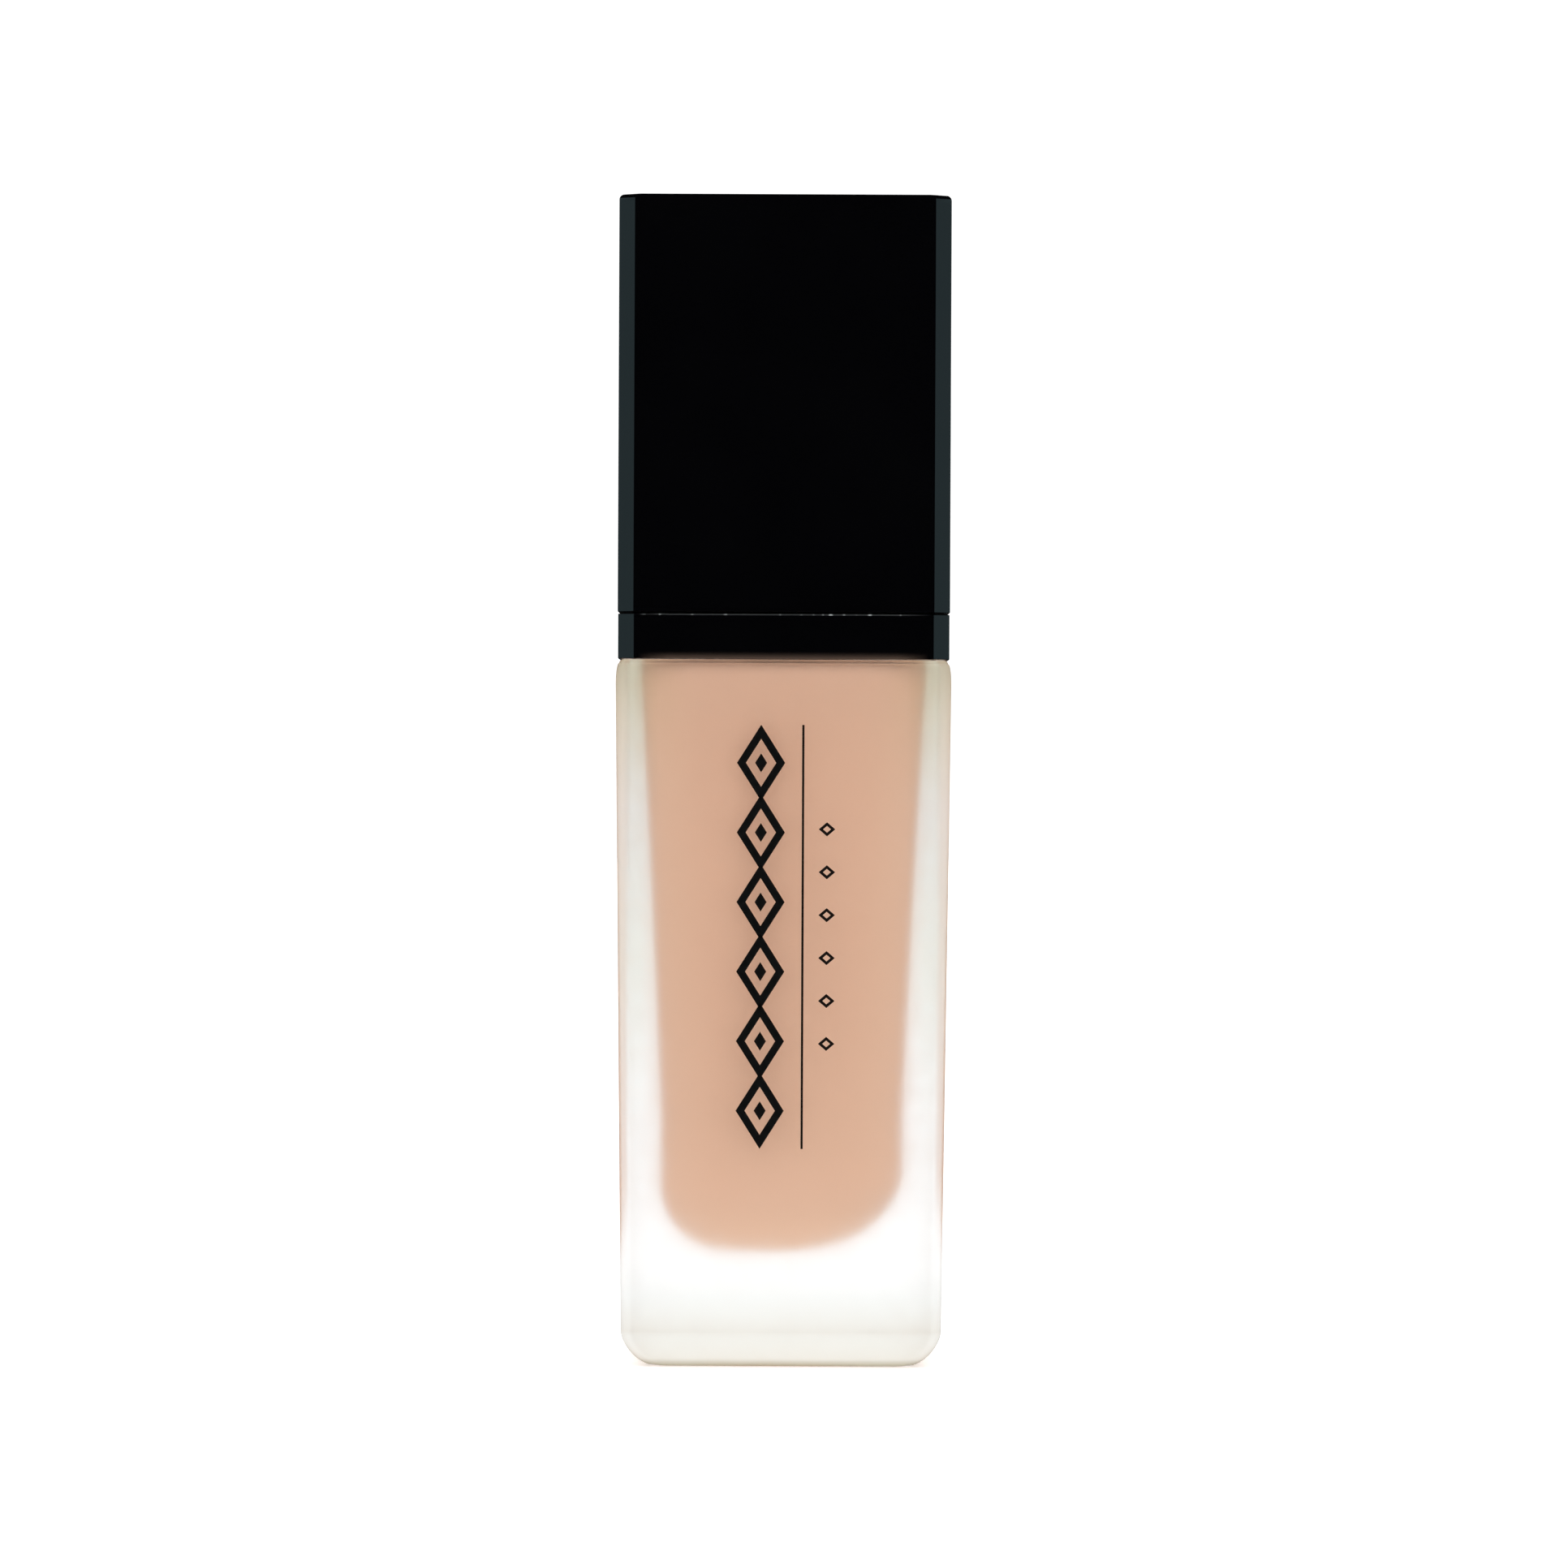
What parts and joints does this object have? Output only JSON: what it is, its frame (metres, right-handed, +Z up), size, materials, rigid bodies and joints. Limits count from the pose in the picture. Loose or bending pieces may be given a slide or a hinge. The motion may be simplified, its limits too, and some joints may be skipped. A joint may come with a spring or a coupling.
{
  "type": "foundation bottle",
  "caption": "Square frosted-glass foundation bottle with a screw-on treatment pump, a square black collar and a tall black pull-off overcap.",
  "frame": {"origin": "centre of the base, on the surface the bottle stands on", "axes": "+Z up along the bottle's axis, -Y towards the front that the spout faces, +X to the right seen from the front"},
  "size_m": [0.0336, 0.0336, 0.1172],
  "materials": {
    "frosted_glass": "acid-etched, satin",
    "foundation": "opaque beige liquid, satin",
    "gloss_black": "high gloss",
    "satin_black": "satin",
    "clear_plastic": "natural translucent",
    "white_plastic": "satin",
    "piston_plastic": "soft, matt",
    "gasket_foam": "soft foam",
    "spring_steel": "drawn wire, bright"
  },
  "bodies": {
    "bottle": {"glass_bottle": "frosted_glass", "foundation_fill": "foundation"},
    "pump": {"pump_housing": "clear_plastic", "housing_cap": "satin_black", "dip_tube": "clear_plastic", "return_spring": "spring_steel", "neck_gasket": "gasket_foam"},
    "valve_ball": {"inlet_ball": "spring_steel"},
    "closure": {"screw_closure": "satin_black", "collar_shell": "gloss_black"},
    "stem": {"pump_stem": "white_plastic", "valve_pin": "white_plastic"},
    "piston": {"piston": "piston_plastic"},
    "pump_head": {"actuator_core": "satin_black", "actuator_shell": "gloss_black", "nozzle_insert": "satin_black"},
    "overcap": {"overcap_shell": "gloss_black", "overcap_liner": "satin_black"}
  },
  "joints": [
    {"name": "pump_lift", "type": "slide", "parent": "bottle", "child": "pump", "axis": [0, 0, 1], "range_m": [0, 0.00556]},
    {"name": "closure_turn", "type": "hinge", "parent": "pump", "child": "closure", "pos_m": [0, 0, 0.08], "axis": [0, 0, 1], "range_deg": [0, 630]},
    {"name": "overcap_lift", "type": "slide", "parent": "closure", "child": "overcap", "axis": [0, 0, 1], "range_m": [0, 0.05]},
    {"name": "pump_press", "type": "slide", "parent": "pump", "child": "stem", "axis": [0, 0, -1], "range_m": [0, 0.0045], "stiffness_N_per_m": 1500, "springref_m": -0.0025, "deforming": ["return_spring"]},
    {"name": "piston_slip", "type": "slide", "parent": "stem", "child": "piston", "axis": [0, 0, 1], "range_m": [0, 0.0007]},
    {"name": "actuator_turn", "type": "hinge", "parent": "stem", "child": "pump_head", "pos_m": [0, 0, 0.104], "axis": [0, 0, 1], "continuous": true},
    {"name": "ball_lift", "type": "slide", "parent": "pump", "child": "valve_ball", "axis": [0, 0, 1], "range_m": [0, 0.0015]}
  ],
  "couplings": [
    {"joint": "closure_turn", "follows": "pump_lift", "rad_per_m": 1979}
  ]
}
